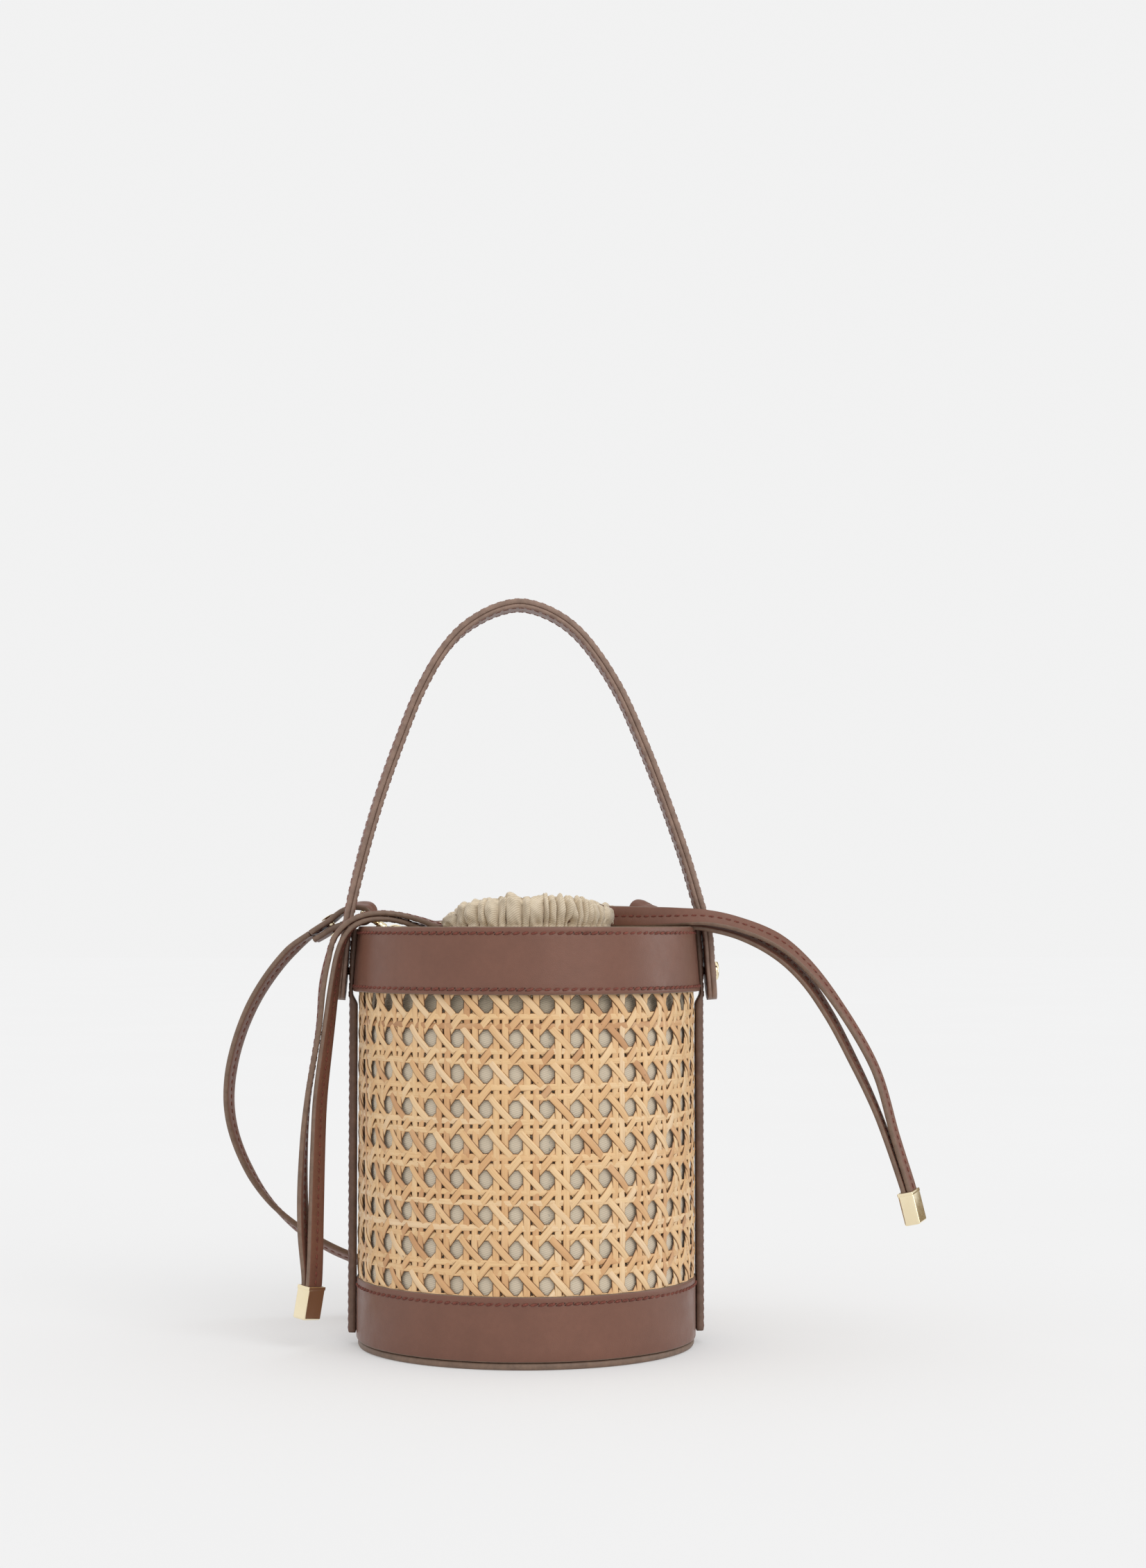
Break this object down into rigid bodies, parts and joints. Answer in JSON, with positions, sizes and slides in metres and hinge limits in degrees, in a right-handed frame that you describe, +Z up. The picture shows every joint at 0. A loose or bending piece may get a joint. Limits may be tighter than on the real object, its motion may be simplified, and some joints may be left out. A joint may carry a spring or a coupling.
{
  "type": "bucket bag",
  "caption": "Small cylindrical bucket bag of woven cane with leather bands, a swinging top handle, a drawstring pouch collar and a clip-on shoulder strap.",
  "frame": {"origin": "centre of the sole's underside, on the ground", "axes": "+Z up, +X to the right seen from the front, +Y towards the back"},
  "size_m": [0.2934, 0.2462, 0.3088],
  "materials": {
    "body_leather": "smooth semi-gloss taupe leather",
    "trim_leather": "smooth taupe leather with painted edges",
    "handle_leather": "two-layer stitched taupe leather with painted edges",
    "strap_leather": "folded and stitched narrow taupe leather",
    "sole_leather": "matt taupe leather with a painted edge",
    "cane": "natural honey-coloured woven cane",
    "lining_fabric": "fine beige twill",
    "board": "stiff fibre board",
    "gold_metal": "polished pale gold plating"
  },
  "bodies": {
    "bag": {"base_sole": "sole_leather", "base_board": "board", "lower_band_front": "body_leather", "lower_band_back": "body_leather", "cane_front": "cane", "cane_back": "cane", "upper_band_front": "body_leather", "upper_band_back": "body_leather", "rim_facing": "trim_leather", "side_strip_left": "trim_leather", "side_strip_right": "trim_leather", "lining_pouch": "lining_fabric", "inner_pocket": "lining_fabric", "gathered_collar": "lining_fabric", "drawstring_front_run": "strap_leather", "drawstring_back_run": "strap_leather", "handle_stud_left": "gold_metal", "handle_stud_right": "gold_metal", "stud_back_left": "gold_metal", "stud_back_right": "gold_metal", "d_ring_tab_left": "trim_leather", "d_ring_tab_right": "trim_leather", "clasp_swivel_left": "gold_metal", "clasp_swivel_right": "gold_metal", "strap_end_left": "strap_leather", "strap_end_right": "strap_leather", "strap_rivet_left": "gold_metal", "strap_rivet_right": "gold_metal", "shoulder_strap_left": "strap_leather", "shoulder_strap_right": "strap_leather", "shoulder_strap_coil": "strap_leather"},
    "handle": {"handle_outer": "handle_leather", "handle_inner": "handle_leather"},
    "drawstring_left": {"drawstring_tail_left_front": "strap_leather", "drawstring_tail_left_back": "strap_leather", "end_cap_left": "gold_metal"},
    "ring_left": {"d_ring_left": "gold_metal"},
    "hook_left": {"clasp_hook_left": "gold_metal"},
    "gate_left": {"clasp_gate_left": "gold_metal"},
    "drawstring_right": {"drawstring_tail_right_front": "strap_leather", "drawstring_tail_right_back": "strap_leather", "end_cap_right": "gold_metal"},
    "ring_right": {"d_ring_right": "gold_metal"},
    "hook_right": {"clasp_hook_right": "gold_metal"},
    "gate_right": {"clasp_gate_right": "gold_metal"}
  },
  "joints": [
    {"name": "handle_swing", "type": "hinge", "parent": "bag", "child": "handle", "pos_m": [0, 0, 0.154], "axis": [1, 0, 0], "range_deg": [-100, 100], "deforming": ["drawstring_tail_left_front", "drawstring_tail_left_back", "drawstring_tail_right_front", "drawstring_tail_right_back", "strap_end_left", "strap_end_right", "shoulder_strap_left", "shoulder_strap_right", "strap_rivet_left", "strap_rivet_right"]},
    {"name": "drawstring_left_pull", "type": "slide", "parent": "bag", "child": "drawstring_left", "axis": [-1, 0, 0], "range_m": [0, 0.006]},
    {"name": "d_ring_left_tilt", "type": "hinge", "parent": "bag", "child": "ring_left", "pos_m": [-0.06162, 0.0131, 0.1615], "axis": [-0.2079, -0.9781, 0], "range_deg": [-8, 8]},
    {"name": "clasp_left_swivel", "type": "hinge", "parent": "bag", "child": "hook_left", "pos_m": [-0.06818, 0.01449, 0.178], "axis": [0.7876, -0.1674, -0.593], "range_deg": [-12, 12]},
    {"name": "clasp_left_gate", "type": "hinge", "parent": "hook_left", "child": "gate_left", "pos_m": [-0.05793, 0.01231, 0.1653], "axis": [-0.2079, -0.9781, 0], "range_deg": [0, 20], "stiffness_Nm_per_rad": 0.005, "springref_deg": -11.46},
    {"name": "drawstring_right_pull", "type": "slide", "parent": "bag", "child": "drawstring_right", "axis": [1, 0, 0], "range_m": [0, 0.006]},
    {"name": "d_ring_right_tilt", "type": "hinge", "parent": "bag", "child": "ring_right", "pos_m": [0.04682, 0.04215, 0.1615], "axis": [-0.6691, 0.7431, 0], "range_deg": [-8, 8]},
    {"name": "clasp_right_swivel", "type": "hinge", "parent": "bag", "child": "hook_right", "pos_m": [0.0518, 0.04664, 0.178], "axis": [-0.5984, -0.5388, -0.593], "range_deg": [-12, 12]},
    {"name": "clasp_right_gate", "type": "hinge", "parent": "hook_right", "child": "gate_right", "pos_m": [0.04401, 0.03963, 0.1653], "axis": [-0.6691, 0.7431, 0], "range_deg": [0, 20], "stiffness_Nm_per_rad": 0.005, "springref_deg": -11.46}
  ]
}
